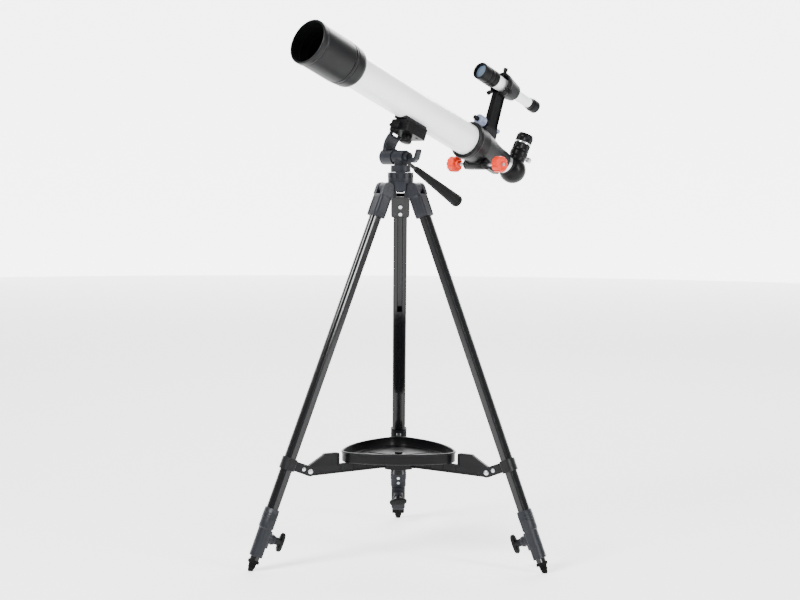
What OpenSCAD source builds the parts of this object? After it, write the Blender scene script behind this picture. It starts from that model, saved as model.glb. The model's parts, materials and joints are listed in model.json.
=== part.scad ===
// Small refractor telescope on a folding aluminium tripod with a pan and tilt head.
// Millimetres, +Z up, origin on the floor under the tripod's centre.

/* [Tripod] */
// Radius of the circle that the leg hinges stand on
hinge_r = 29.5; // [29:0.5:36]
// Height of the leg hinges above the floor
hinge_z = 606; // [500:1:760]
// Angle of each leg from the vertical
splay = 21.75; // [20:0.05:24]
// Width of the upper leg section
leg_w = 23; // [20:0.5:28]
// Depth of the upper leg section
leg_d = 15; // [13:0.5:18]
// Wall of the leg sections
leg_wall = 1.6; // [1.2:0.1:2]
// Gap between the upper and the lower leg section
leg_gap = 0.3; // [0.2:0.05:0.5]
// Length of the lower section that is inside the upper one
shank_len = 400; // [250:5:420]
// Length of the leg's bottom lock housing
lock_len = 80; // [70:1:90]
// Length of the foot below the lock housing
foot_len = 24.4; // [20:0.2:30]

/* [Spreader] */
// Distance from the middle of a leg to the arm's outer pivot
ear_reach = 40.75; // [34:0.25:49]
// Height of the spreader's pivots
spread_z = 150; // [140:1:200]
// Thickness of an arm
arm_t = 7; // [5:0.5:8]
// Distance from the centre to the arms' inner ends
arm_in_r = 24; // [22:0.5:26]
// Distance from the tray's corner to the arm's outer pivot
tray_gap = 63; // [60:1:72]
// Corner radius of the tray
tray_round = 28; // [24:1:30]
// How far a tray side bulges past the straight line between its corners
tray_bulge = 14; // [8:1:16]
// Height of the tray's wall
tray_h = 17.7; // [12:0.1:20]
// Wall of the tray
tray_wall = 2.4; // [1.6:0.1:3]

/* [Head] */
// Height of the tilt axis
tilt_z = 656; // [650:1:668]
// Direction that the telescope points in, seen from above
pan_azimuth = 225.35; // [215:0.05:235]
// Elevation of the telescope
elevation = 21.56; // [10:0.02:30]
// Radius of the pan base
pan_r = 21; // [19:0.5:23]
// Radius of the tilt shaft
shaft_r = 4; // [3:0.1:5]
// Radius of the tilt boss
boss_r = 12.6; // [11:0.1:13]
// Width of the platform across the tube
plat_w = 40; // [34:1:41]
// Length of the platform along the tube
plat_l = 48; // [40:1:60]
// Length of the handle's grip
grip_len = 120; // [90:1:140]
// Radius of the grip's thick end
grip_r = 10.8; // [8:0.1:12]

/* [Telescope] */
// Height of the tube's axis over the tilt axis
tube_h = 87.4; // [87:0.2:96]
// Outer diameter of the tube
tube_od = 55; // [50:0.5:56]
// Wall of the tube
tube_wall = 1.2; // [0.8:0.1:1.6]
// Distance from the tilt axis to the front of the dew shield
shield_front = 256.5; // [230:0.5:300]
// Length of the dew shield
shield_len = 75; // [60:0.5:90]
// Outer radius of the dew shield
shield_r = 36; // [35:0.5:40]
// Wall of the dew shield
shield_wall = 2; // [1.5:0.1:3]
// Distance from the tilt axis back to the focuser's collar
collar_x = 135.5; // [120:0.5:150]
// Outer radius of the drawtube
draw_r = 15; // [14:0.1:16]
// Travel of the drawtube
draw_travel = 40; // [20:1:40]
// Half the distance between the middles of the focus knobs
knob_y = 52; // [46:0.5:60]
// Radius of a focus knob
knob_r = 13.8; // [12:0.1:16]
// Width of a focus knob
knob_w = 16; // [12:0.5:18]
// Radius of the eyepiece's body
eye_r = 15; // [14:0.1:16]
// Radius of the eyepiece's barrel
eye_barrel_r = 12.25; // [12:0.05:12.5]

/* [Finder] */
// Height of the finder's axis over the tube's axis
finder_h = 122; // [112:0.5:130]
// Outer radius of the finder's tube
finder_r = 12.5; // [11:0.1:13]
// Distance from the tilt axis back to the front of the finder
finder_front = 122.5; // [110:0.5:130]
// Length of the finder
finder_len = 160.5; // [156:0.5:200]

/* [Hidden] */
$fn = 64;
EPS = 0.01;
// Radial clearance of a running fit
RUN = 0.06;
// Radial clearance of a seated fit
SEAT = 0.05;
// Side gap between parts that turn against each other
SIDE = 0.5;
LEG_AZ = [90, 210, 330];

// Leg section
leg_back_r = leg_w * 0.72;
leg_back_x = leg_d / 2 - leg_back_r;
leg_len = hinge_z / cos(splay);
lock_bot = leg_len - foot_len;
lock_top = lock_bot - lock_len;
lock_step = lock_top + 32;
lock_skin = 2.2;
lock_rivet_depth = 2.8;
leg_top = 8;
upper_bot = lock_top + 12;
slot_w = 9;
shank_inset = leg_wall + leg_gap;
shank_wall = 1.4;
shank_top = lock_bot - shank_len;
knob_s = lock_bot - 33;
knob_x = -36;
foot_tip_r = 4.2;

// Leg bracket
pin_r = 2.5;
eye_cap_r = 9;
lug_w = 12;
bracket_w = 31;
bracket_top = 13;
bracket_bot = 50;
bracket_out = leg_d / 2 + 1.6;
bracket_in = -leg_d / 2 - 5;
crown_top = hinge_z + 9;
crown_bot = hinge_z - 6;
crown_r = 24;

// Spreader
arm_dz = hinge_z - spread_z - 1.4;
arm_dx = arm_dz * tan(splay) - ear_reach / cos(splay);
arm_r = hinge_r + arm_dx;
ear_s = arm_dx * sin(splay) + arm_dz * cos(splay);
ear_x = arm_dx * cos(splay) - arm_dz * sin(splay);
ear_t = 4;
ear_r = 8;
arm_end_r = 8.5;
arm_tip_r = 5;
arm_z = spread_z + 1.4;
band_skin = 2.6;
band_h = 20;
hub_r = arm_in_r + 5;
hub_slot_w = arm_t + 1.4;
hub_slot_in = 6.4;
tray_z = spread_z + 10;
tray_floor = 2.4;
screw_r = 3;
tray_tip_r = arm_r - tray_gap;
tray_corner_r = tray_tip_r - tray_round;
tray_side_r = tray_corner_r / 2 + tray_bulge + tray_round;

// Head
ring_r = 16.4;
pan_z = crown_top;
pan_h = 16;
turret_z = pan_z + pan_h + 0.3;
ring_top = tilt_z - boss_r - 0.9;
neck_r = 11;
neck_half = 12;
boss_in = -neck_half - SIDE;
boss_out = -38;
flip_y = -25.5;
flip_z = 44;
flip_r = 4.5;
flip_pin_r = 2;
plat_bot = 38;
plat_top = 51;
plate_top = tube_h - tube_od / 2 - 1;
arc_y = -5;
arc_z = 20;
arc_r = 31;
rod_r = 3.4;
rod_z = 12;
grip_x = -64;
grip_droop = 6.5;

// Telescope
tube_r = tube_od / 2;
cell_rear = shield_front - shield_len - 30;
cell_front = shield_front - shield_len;
spigot_len = 18;
spigot_r = shield_r - shield_wall + 0.4;
lens_r = tube_r - 0.8;
collar_r = tube_r + 5.9;
tube_rear = -collar_x - 14;
body_rear = -collar_x - 101.5;
draw_wall = 1.8;
draw_front = -collar_x + 7;
draw_rear = body_rear - 7;
pitch_r = 6;
pinion_teeth = 12;
pinion_x = -collar_x - 41;
pinion_z = -draw_r - 14;
rack_root = pinion_z + pitch_r + 1;
rack_tip = pinion_z + pitch_r - 0.8;
tooth_pitch = 2 * PI * pitch_r / pinion_teeth;
rack_w = 6;
diag_x = body_rear - 31;
diag_r = 23.5;
diag_drop = 3;
diag_roll = 8;
diag_bore = 11;
holder_r = 14.6;
holder_top = 32;
eye_bot = holder_top + 0.4;
eye_top = 65;

// Finder
ring_x = -collar_x - 43;
cone_len = 40;
cone_front_r = finder_r + 9.5;
cone_rear_r = finder_r + 2.5;
finder_back = finder_front + finder_len;
thin_r = finder_r - 3.5;
cell_len = 40;
step_x = ring_x - cone_len - 4;
foot_z = -finder_h + tube_r + 11;

BLACK = "#1b1b1d";
GREY = "#3c4049";
STEEL = "#b9bcc0";
WHITE = "#eef0f2";
RED = "#d8482c";
RUBBER = "#141414";
GLASS = "#9fb8c8";

// ---- Frames ----

// Leg frame: X away from the tripod's centre, Y along the hinge, Z up the leg to the hinge.
module in_leg(i) {
    rotate([0, 0, LEG_AZ[i - 1]])
        translate([hinge_r, 0, hinge_z])
            rotate([0, -splay, 0])
                children();
}

// Upright frame of a leg: X is the distance from the centre, Z the height.
module in_spoke(i) rotate([0, 0, LEG_AZ[i - 1]]) children();

// Tilt frame: X forward along the tube, Y along the tilt axis, Z up, origin on the tilt axis.
module in_tilt() {
    translate([0, 0, tilt_z])
        rotate([0, -elevation, pan_azimuth])
            children();
}

// Handle frame inside the tilt frame: X points back into the tilt boss.
module on_handle() {
    translate([0, (boss_in + boss_out) / 2, rod_z])
        rotate([0, -grip_droop, 0])
            children();
}

// Tube frame: as the tilt frame, but with its origin on the tube's axis.
module in_tube() in_tilt() translate([0, 0, tube_h]) children();

// Diagonal frame: as the tube frame, rolled about the tube's axis with the eyepiece to one side.
module in_diagonal() in_tube() rotate([-diag_roll, 0, 0]) children();

// Finder frame: as the tube frame, on the finder's axis.
module in_finder() in_tube() translate([0, 0, finder_h]) children();

// ---- Shapes ----

// Cylinder along X from x1 to x2, or a cone with two radii
module bar_x(x1, x2, r1, r2 = 0) {
    translate([x1, 0, 0])
        rotate([0, 90, 0])
            cylinder(h = x2 - x1, r1 = r1, r2 = r2 == 0 ? r1 : r2);
}

// Cylinder along Y from y1 to y2
module bar_y(y1, y2, r) translate([0, y1, 0]) rotate([-90, 0, 0]) cylinder(h = y2 - y1, r = r);

// Revolved outline about X: points are [x, radius]
module turned_x(pts) {
    rotate([0, 90, 0])
        rotate_extrude()
            polygon([for (p = pts) [p[1], p[0]]]);
}

module rounded_rect(w, h, r) {
    square([w - 2 * r, h], center = true);
    square([w, h - 2 * r], center = true);
    for (x = [-1, 1], y = [-1, 1])
        translate([x * (w / 2 - r), y * (h / 2 - r)]) circle(r);
}

// Strip with round ends between two points
module strip(a, b, r) {
    d = b - a;
    translate(a) {
        circle(r);
        rotate(atan2(d[1], d[0])) translate([0, -r]) square([norm(d), 2 * r]);
    }
    translate(b) circle(r);
}

// Plate of thickness t standing in the XZ plane, its outline drawn in X and Z
module upright(t) rotate([90, 0, 0]) linear_extrude(t, center = true) children();

// Knob: a disc with grip slots round its edge
module slotted_disc(r, h, n, slot_r) {
    difference() {
        cylinder(h = h, r = r);
        for (a = [0 : 360 / n : 359])
            rotate([0, 0, a])
                translate([r + slot_r * 0.35, 0, -1])
                    cylinder(h = h + 2, r = slot_r, $fn = 24);
    }
}

// Leg outline, drawn inwards by the inset
module leg_outline(inset) {
    intersection() {
        rounded_rect(leg_d - 2 * inset, leg_w - 2 * inset, 2.6 - inset * 0.4);
        translate([leg_back_x, 0]) circle(leg_back_r - inset, $fn = 96);
    }
}

// ---- Legs ----

module leg_bracket(i) {
    color(GREY) in_leg(i) difference() {
        union() {
            translate([(bracket_out + bracket_in) / 2, 0, -bracket_bot])
                linear_extrude(bracket_bot - bracket_top)
                    rounded_rect(bracket_out - bracket_in, bracket_w, 4);
            upright(bracket_w) {
                circle(eye_cap_r);
                translate([-eye_cap_r, -bracket_top - 1]) square([2 * eye_cap_r, bracket_top + 1]);
            }
        }
        upright(lug_w + 2 * SIDE) {
            circle(eye_cap_r + 1);
            translate([-20, -bracket_top + 1]) square([40, bracket_top]);
        }
        translate([0, 0, -bracket_bot - 1])
            linear_extrude(bracket_bot - leg_top + 1)
                leg_outline(-SEAT);
        bar_y(-bracket_w, bracket_w, pin_r + RUN);
        for (s = [30, 43])
            translate([0, 0, -s]) bar_x(-20, bracket_out - 0.8, 1.6 + SEAT);
    }
}

module leg_upper(i) {
    color(BLACK) in_leg(i) difference() {
        translate([0, 0, -upper_bot])
            linear_extrude(upper_bot - bracket_top)
                difference() {
                    leg_outline(0);
                    leg_outline(leg_wall);
                    translate([-leg_d, -slot_w / 2]) square([leg_d, slot_w]);
                }
        for (s = [30, 43])
            translate([0, 0, -s]) bar_x(-20, 20, 1.6 + SEAT);
    }
}

module leg_clamp(i) {
    color(BLACK) in_leg(i) translate([0, 0, -ear_s]) difference() {
        union() {
            translate([0, 0, -band_h / 2]) linear_extrude(band_h) leg_outline(-band_skin);
            for (side = [-1, 1])
                translate([0, side * (arm_t / 2 + SIDE + ear_t / 2), 0])
                    upright(ear_t) strip([-leg_d / 2 - 2, 0], [ear_x, 0], ear_r);
            translate([-leg_d / 2 - 6, 0, 0]) cube([8, arm_t + 2 * ear_t, 2 * ear_r], center = true);
        }
        translate([0, 0, -band_h]) linear_extrude(2 * band_h) leg_outline(-SEAT);
        translate([ear_x, 0, 0]) bar_y(-20, 20, pin_r + RUN);
        translate([(ear_x - leg_d) / 2, 0, 0]) bar_y(-20, 20, 1.6 + SEAT);
    }
}

// Rivet or screw along Y with a domed head at each end
module rivet_y(half, r, head_r) {
    bar_y(-half - 0.5, half + 0.5, r);
    for (side = [-1, 1])
        scale([1, side, 1])
            translate([0, half, 0])
                intersection() {
                    bar_y(0, head_r, head_r);
                    translate([0, -head_r * 0.75, 0]) sphere(head_r * 1.25);
                }
}

module leg_rivets(i) {
    ear_half = arm_t / 2 + SIDE + ear_t;
    color(STEEL) in_leg(i) {
        translate([ear_x, 0, -ear_s]) rivet_y(ear_half, pin_r, 4.2);
        translate([(ear_x - leg_d) / 2, 0, -ear_s]) rivet_y(ear_half, 1.6, 3.4);
        for (s = [30, 43])
            translate([0, 0, -s]) {
                bar_x(bracket_in - 1, bracket_in, 3);
                bar_x(bracket_in - EPS, bracket_out - 1, 1.6);
            }
        for (s = [14, 24])
            translate([-leg_d / 2 - lock_skin, 0, -lock_top - s]) {
                bar_x(-0.9, 0, 2.6);
                bar_x(-EPS, lock_rivet_depth - 0.2, 1.6);
            }
    }
}

module leg_lock(i) {
    color(BLACK) in_leg(i) difference() {
        union() {
            translate([0, 0, -lock_step])
                linear_extrude(lock_step - lock_top) leg_outline(-lock_skin);
            translate([0, 0, -lock_bot])
                linear_extrude(lock_bot - lock_step + EPS) leg_outline(-lock_skin + 1.2);
            translate([0, 0, -knob_s]) bar_x(knob_x + 13, -2, 8);
            translate([-leg_d / 2 - 1, 0, -knob_s - 2]) cube([10, 15, 30], center = true);
        }
        translate([0, 0, -upper_bot])
            linear_extrude(upper_bot - lock_top + 5) leg_outline(-SEAT);
        translate([0, 0, -lock_bot - 1])
            linear_extrude(lock_bot - upper_bot + 2) leg_outline(shank_inset - leg_gap);
        translate([0, 0, -knob_s]) bar_x(knob_x, 0, 3 + RUN);
        for (s = [14, 24])
            translate([-leg_d / 2 - lock_skin, 0, -lock_top - s])
                bar_x(-1, lock_rivet_depth, 1.6 + SEAT);
    }
}

module leg_lower(i) {
    color(BLACK) in_leg(i) translate([0, 0, -lock_bot - 6])
        linear_extrude(shank_len + 6)
            difference() {
                leg_outline(shank_inset);
                leg_outline(shank_inset + shank_wall);
            }
}

module foot(i) {
    plug = shank_inset + shank_wall + SEAT;
    color(RUBBER) difference() {
        in_leg(i) {
            translate([0, 0, -lock_bot - 7])
                linear_extrude(12) leg_outline(plug);
            translate([0, 0, -lock_bot - 11]) linear_extrude(4.9) leg_outline(0.4);
            translate([-1, 0, -leg_len + 2.2])
                cylinder(h = foot_len - 13, r1 = foot_tip_r, r2 = 6.6);
            translate([-1, 0, -leg_len + 2.2]) sphere(foot_tip_r);
        }
        translate([-2 * leg_len, -2 * leg_len, -50]) cube([4 * leg_len, 4 * leg_len, 50]);
    }
}

module wing_knob(i) {
    color(BLACK) in_leg(i) translate([0, 0, -knob_s]) {
        bar_x(knob_x + 4, -leg_d / 2 + leg_wall - 1.2, 3);
        bar_x(knob_x + 2, knob_x + 12.5, 6.5);
        translate([knob_x, 0, 0])
            rotate([0, 90, 0])
                linear_extrude(7, center = true)
                    rotate(i == 1 ? 82 : 0) {
                        strip([-12, 0], [12, 0], 4);
                        circle(8);
                    }
    }
}

// ---- Spreader and tray ----

module arm(i) {
    notch_r = tray_tip_r + 8;
    color(BLACK) in_spoke(i) difference() {
        upright(arm_t) {
            translate([arm_r, arm_z]) circle(arm_end_r);
            translate([arm_in_r, spread_z]) circle(arm_tip_r);
            polygon([
                [arm_in_r, spread_z - arm_tip_r],
                [arm_r, arm_z - arm_end_r],
                [arm_r + 1, arm_z + arm_end_r - 0.1],
                [notch_r + 30, tray_z + tray_h - 3],
                [notch_r + 25, tray_z + tray_h],
                [notch_r + 2, tray_z + tray_h],
                [notch_r, tray_z + tray_h - 2],
                [notch_r, tray_z - 1.2],
                [arm_in_r + 22, tray_z - 1.2],
                [arm_in_r, spread_z + arm_tip_r]
            ]);
        }
        translate([arm_r, 0, arm_z]) bar_y(-20, 20, pin_r + RUN);
    }
}

module hub() {
    color(BLACK) difference() {
        union() {
            translate([0, 0, spread_z - 7]) cylinder(h = tray_z - spread_z + 7, r = hub_r);
            translate([0, 0, spread_z - 11]) cylinder(h = 5, r = 9);
        }
        for (i = [1 : 3])
            in_spoke(i)
                translate([hub_slot_in, -hub_slot_w / 2, spread_z - 20])
                    cube([hub_r + 10, hub_slot_w, 40]);
        translate([0, 0, spread_z - 30]) cylinder(h = 60, r = screw_r + RUN);
    }
}

// Rounded triangle with bulging sides, its corners towards the legs, drawn inwards by the inset
module tray_outline(inset) {
    corner = tray_round - inset;
    m = tray_side_r - tray_round;
    e = (tray_corner_r * tray_corner_r - m * m) / (2 * m - tray_corner_r);
    psi = atan2(tray_corner_r * sin(60), tray_corner_r / 2 + e);
    polygon([
        for (a = LEG_AZ)
            each concat(
                [for (k = [-5 : 5]) let (t = a + k * (60 - psi) / 5)
                    tray_corner_r * [cos(a), sin(a)] + corner * [cos(t), sin(t)]],
                [for (k = [-5 : 5]) let (t = a + 60 + k * psi / 6)
                    -e * [cos(a + 60), sin(a + 60)] + (tray_side_r - inset + e) * [cos(t), sin(t)]]
            )
    ]);
}

module tray() {
    color(BLACK) difference() {
        union() {
            translate([0, 0, tray_z]) linear_extrude(tray_h) tray_outline(1.2);
            translate([0, 0, tray_z + tray_h - 2.5]) linear_extrude(2.5) tray_outline(0);
        }
        difference() {
            translate([0, 0, tray_z + tray_floor]) linear_extrude(tray_h) tray_outline(1.2 + tray_wall);
            cylinder(h = tray_z + 6, r = 12);
        }
        translate([0, 0, tray_z - 1]) cylinder(h = 30, r = screw_r + RUN);
    }
}

module tray_knob() {
    color(BLACK) {
        translate([0, 0, spread_z - 19]) {
            cylinder(h = 7.7, r = 8);
            cylinder(h = tray_z - spread_z + 19 + 7, r = screw_r);
        }
        translate([0, 0, tray_z + 6.2]) cylinder(h = 3, r = 6.5);
    }
}

// ---- Crown and head ----

module crown() {
    color(GREY) difference() {
        union() {
            difference() {
                translate([0, 0, crown_bot]) cylinder(h = crown_top - crown_bot, r = crown_r);
                for (i = [1 : 3])
                    in_spoke(i) translate([hinge_r, 0, hinge_z])
                        bar_y(-bracket_w / 2 - 1, bracket_w / 2 + 1, eye_cap_r + 1.4);
            }
            for (i = [1 : 3])
                in_spoke(i) upright(lug_w) {
                    translate([hinge_r, hinge_z]) circle(eye_cap_r - 0.6);
                    translate([6, hinge_z - 6]) square([hinge_r - 6, 14.4]);
                }
        }
        for (i = [1 : 3])
            in_spoke(i) translate([hinge_r, 0, hinge_z]) bar_y(-30, 30, pin_r + SEAT);
    }
}

module hinge_pins() {
    color(STEEL) for (i = [1 : 3])
        in_spoke(i) translate([hinge_r, 0, hinge_z])
            bar_y(-bracket_w / 2 - 0.4, bracket_w / 2 + 0.4, pin_r);
}

module pan_base() {
    color(GREY) difference() {
        translate([0, 0, pan_z]) cylinder(h = pan_h, r = pan_r);
        translate([0, 0, pan_z + 2]) cylinder(h = pan_h, r = 8 + RUN);
        for (a = [195 : 30 : 345])
            rotate([0, 0, a]) translate([pan_r, 0, pan_z + 10]) cube([3, 5, 6], center = true);
        rotate([0, 0, 95]) translate([0, 0, pan_z + 8]) bar_x(0, 40, 2.5 + RUN);
    }
}

module pan_lock_screw() {
    color(BLACK) rotate([0, 0, 95]) translate([0, 0, pan_z + 8]) {
        bar_x(8.3, pan_r + 4, 2.5);
        translate([pan_r + 2, 0, 0]) rotate([0, 90, 0]) slotted_disc(7, 9, 12, 1);
    }
}

module pan_turret() {
    color(GREY) difference() {
        union() {
            translate([0, 0, pan_z + 2.3]) cylinder(h = pan_h, r = 8);
            translate([0, 0, turret_z]) cylinder(h = ring_top - turret_z, r = ring_r);
            translate([0, 0, turret_z]) cylinder(h = tilt_z - turret_z, r = neck_r);
            translate([0, 0, tilt_z]) rotate([0, 0, pan_azimuth]) bar_y(-neck_half, neck_half, neck_r);
        }
        translate([0, 0, tilt_z]) rotate([0, 0, pan_azimuth]) bar_y(-40, 40, shaft_r + RUN);
    }
}

module tilt_lever() {
    color(GREY) translate([0, 0, tilt_z]) rotate([0, 0, pan_azimuth]) {
        bar_y(boss_out - 2, neck_half + 10, shaft_r);
        bar_y(boss_out - 4.5, boss_out - 0.4, 7);
        bar_y(neck_half + 0.5, neck_half + 8, 8);
        rotate([0, 0, 90]) upright(9) translate([neck_half, 0]) polygon([
            [2, -7.4], [16.5, -9.4], [21, -8.2], [26.6, -3.4], [31.4, 10], [30.2, 12.4],
            [27.8, 12.8], [26.6, 11.9], [22.2, 0.9], [20, -1.6], [16, -2.6], [2, -0.6]
        ]);
    }
}

module tilt_frame() {
    color(GREY) in_tilt() difference() {
        union() {
            bar_y(boss_out, boss_in, boss_r);
            rotate([0, 0, 90]) upright(24) intersection() {
                translate([arc_y, arc_z]) difference() {
                    circle(arc_r);
                    circle(arc_r - 5.5);
                }
                translate([-50, -2]) square([50 + flip_y, flip_z]);
            }
            translate([0, flip_y, flip_z]) rotate([0, 0, 90]) upright(24) circle(flip_r);
            translate([0, flip_y - 2, flip_z - 7]) cube([24, 5, 8], center = true);
            on_handle() bar_x(-28, -2, 6);
        }
        bar_y(-60, 10, shaft_r + RUN);
        translate([0, flip_y, flip_z]) cube([15.4, 2 * flip_r + 6, 2 * flip_r + 6], center = true);
        translate([0, flip_y, flip_z]) bar_x(-20, 20, flip_pin_r + RUN);
        on_handle() bar_x(-40, -9, rod_r + SEAT);
        bar_y(boss_in, neck_half + 8, neck_r + 1.2);
    }
}

module handle_rod() {
    color(STEEL) in_tilt() on_handle() bar_x(grip_x - 30, -9.2, rod_r);
}

module handle_grip() {
    color(BLACK) in_tilt() on_handle() translate([grip_x, 0, 0]) difference() {
        turned_x([
            [0, 0], [0, 4.4], [-1.5, 5.2], [-grip_len + 9, grip_r - 0.4], [-grip_len + 4, grip_r],
            [-grip_len + 1, grip_r - 1], [-grip_len, grip_r - 3], [-grip_len, 0]
        ]);
        bar_x(-31, 2, rod_r + RUN);
    }
}

module platform() {
    color(BLACK) in_tilt() {
        difference() {
            union() {
                translate([-plat_l / 2, -plat_w / 2, plat_bot]) cube([plat_l, plat_w, plat_top - plat_bot]);
                translate([0, 0, 25]) cylinder(h = plat_bot - 25 + 1, r = 9);
                rotate([0, 0, 90]) upright(14.6) strip([-plat_w / 2 + 2, flip_z], [flip_y, flip_z], 4);
            }
            translate([-plat_l / 2 + 6, -plat_w / 2 + 4, plat_top - 6])
                cube([plat_l - 12, plat_w - 8 + 10, 10]);
        }
        translate([0, flip_y, flip_z]) bar_x(-12.4, 12.4, flip_pin_r);
    }
}

module plate() {
    color(BLACK) in_tilt() {
        translate([-plat_l / 2 + 6.3, -plat_w / 2 + 4.3, plat_top - 5.9])
            cube([plat_l - 12.6, plat_w - 8.6, 6.2]);
        translate([-plat_l / 2, -plat_w / 2, plat_top + 0.3])
            cube([plat_l, plat_w, plate_top - plat_top - 0.3]);
    }
}

module plate_lever() {
    color(STEEL) in_tilt() translate([plat_l / 2 + 0.4, 0, plat_bot + 8]) {
        bar_x(0, 4, 5);
        translate([2, 0, 0]) rotate([0, 0, 90]) upright(3.6) strip([0, 0], [-15, 0], 3);
    }
}

// ---- Telescope ----

module tube_saddle() {
    color(BLACK) in_tilt() difference() {
        translate([-26, -13, plate_top]) cube([52, 26, 8]);
        translate([0, 0, tube_h]) bar_x(-40, 40, tube_r + SEAT, $fn = 160);
    }
}

module main_tube() {
    color(WHITE) in_tube() difference() {
        bar_x(tube_rear, cell_front - 6, tube_r);
        bar_x(tube_rear - 1, cell_front, tube_r - tube_wall);
    }
}

module lens_cell() {
    color(BLACK) in_tube() difference() {
        turned_x([
            [cell_rear, 0], [cell_rear, tube_r + 2.6], [cell_rear + 4, tube_r + 5],
            [cell_rear + 8, shield_r - 2.2], [cell_front - 3, shield_r - 0.4],
            [cell_front - 1, shield_r - 0.8], [cell_front - 1, spigot_r],
            [cell_front + spigot_len, spigot_r], [cell_front + spigot_len, 0]
        ]);
        bar_x(cell_rear - 1, cell_front - 6 + SEAT, tube_r + SEAT);
        bar_x(cell_front - 7, cell_front + 1, lens_r - 1.6);
        bar_x(cell_front, cell_front + spigot_len + 1, lens_r + SEAT);
    }
}

module objective_lens() {
    bulge = 90;
    front = cell_front + 8;
    color(GLASS) in_tube() turned_x(concat(
        [[cell_front + 0.1, 0], [cell_front + 0.1, lens_r]],
        [for (k = [6 : -1 : 0]) let (r = lens_r * k / 6)
            [front + sqrt(bulge * bulge - r * r) - bulge, r]]
    ));
}

module dew_shield() {
    rim = shield_r + 1.3;
    bore = shield_r - shield_wall;
    color(BLACK) in_tube() difference() {
        turned_x([
            [cell_front, 0], [cell_front, shield_r], [shield_front - 12, shield_r],
            [shield_front - 9, rim], [shield_front - 1.2, rim], [shield_front, rim - 1],
            [shield_front, 0]
        ]);
        bar_x(cell_front + spigot_len + 0.5, shield_front + 1, bore);
        bar_x(cell_front - 1, cell_front + spigot_len + 0.5 + EPS, spigot_r + 0.1);
    }
}

module focuser_body() {
    color(BLACK) in_tube() difference() {
        union() {
            turned_x([
                [-collar_x, 0], [-collar_x, collar_r - 1], [-collar_x - 1, collar_r],
                [-collar_x - 8, collar_r], [-collar_x - 10, collar_r - 1.4],
                [-collar_x - 30, collar_r - 2.4], [-collar_x - 52, collar_r - 7],
                [-collar_x - 76, collar_r - 12.4], [body_rear + 6, draw_r + 4.2],
                [body_rear, draw_r + 3], [body_rear, 0]
            ]);
            translate([body_rear + 8, -6.5, rack_tip - 2.5])
                cube([pinion_x - body_rear, 13, -rack_tip - 8]);
            translate([pinion_x, 0, pinion_z]) bar_y(-24, 24, 9.6);
            translate([pinion_x, 0, pinion_z + 7]) cube([24, 40, 14], center = true);
            translate([ring_x - 3, 0, tube_r + 4]) cube([30, 18, 14], center = true);
        }
        bar_x(tube_rear - SEAT, -collar_x + 1, tube_r + SEAT);
        bar_x(tube_rear - 30, -collar_x, draw_r + 3.5);
        bar_x(body_rear - 1, tube_rear, draw_r + RUN);
        translate([pinion_x, 0, pinion_z]) bar_y(-40, 40, 3 + RUN);
        translate([pinion_x, 0, pinion_z]) bar_y(-rack_w / 2 - 1, rack_w / 2 + 1, 7.6);
        translate([body_rear + 10, -rack_w / 2 - SIDE, rack_tip - 0.5])
            cube([tube_rear - body_rear - 9, rack_w + 2 * SIDE, -rack_tip]);
    }
}

module drawtube() {
    last = floor((draw_front - pinion_x - 2) / tooth_pitch);
    color(STEEL) in_tube() difference() {
        union() {
            bar_x(draw_rear, draw_front, draw_r);
            bar_x(draw_rear, body_rear - 0.6, draw_r + 2.6);
            translate([pinion_x - 10, -rack_w / 2, rack_root])
                cube([draw_front - pinion_x + 10, rack_w, -rack_root - draw_r + 2]);
            for (k = [-3 : last])
                translate([pinion_x + (k + 0.5) * tooth_pitch, 0, 0])
                    rack_tooth();
        }
        bar_x(draw_rear - 1, draw_front + 1, draw_r - draw_wall);
    }
}

// Rack tooth below the drawtube
module rack_tooth() {
    upright(rack_w)
        polygon([[-0.9, rack_root + 0.2], [-0.3, rack_tip], [0.3, rack_tip], [0.9, rack_root + 0.2]]);
}

module pinion_shaft() {
    color(STEEL) in_tube() translate([pinion_x, 0, pinion_z]) {
        bar_y(-knob_y - knob_w / 2 - 1.5, knob_y + knob_w / 2 + 1.5, 3);
        bar_y(-rack_w / 2, rack_w / 2, 4.9);
        for (k = [0 : pinion_teeth - 1])
            rotate([0, k * 360 / pinion_teeth, 0])
                upright(rack_w)
                    polygon([[-0.85, 4.5], [-0.3, 6.8], [0.3, 6.8], [0.85, 4.5]]);
    }
}

module focus_knobs() {
    color(RED) in_tube() translate([pinion_x, 0, pinion_z])
        for (side = [-1, 1])
            scale([1, side, 1])
                translate([0, knob_y - knob_w / 2, 0])
                    rotate([-90, 0, 0])
                        difference() {
                            union() {
                                slotted_disc(knob_r, knob_w, 10, 1.5);
                                translate([0, 0, -5]) cylinder(h = 6, r = 7);
                            }
                            translate([0, 0, -6]) cylinder(h = knob_w + 8, r = 3 + SEAT);
                        }
}

module diagonal() {
    color(BLACK) in_diagonal() difference() {
        union() {
            bar_x(diag_x, draw_rear + 14, draw_r - draw_wall - RUN);
            bar_x(diag_x, draw_rear - 0.4, draw_r + 2.4);
            translate([diag_x, 0, -diag_drop]) sphere(diag_r);
            translate([diag_x, 0, 0]) cylinder(h = holder_top, r = holder_r);
            translate([diag_x, 0, holder_top - 9]) cylinder(h = 9, r = holder_r + 1.2);
        }
        intersection() {
            union() {
                bar_x(diag_x - 15, draw_rear + 20, diag_bore);
                translate([diag_x, 0, -15]) cylinder(h = 60, r = diag_bore);
            }
            translate([diag_x, 0, 0]) rotate([0, 45, 0]) translate([-40, -40, -1]) cube([80, 80, 100]);
        }
        translate([diag_x, 0, 0]) rotate([0, 45, 0])
            translate([0, 0, -3 - SEAT]) cylinder(h = 3, r = 14 + SEAT);
        translate([diag_x, 0, 14]) cylinder(h = 40, r = eye_barrel_r + RUN);
        translate([diag_x, 0, holder_top - 5]) bar_x(-30, 0, 2 + RUN);
    }
}

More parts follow.
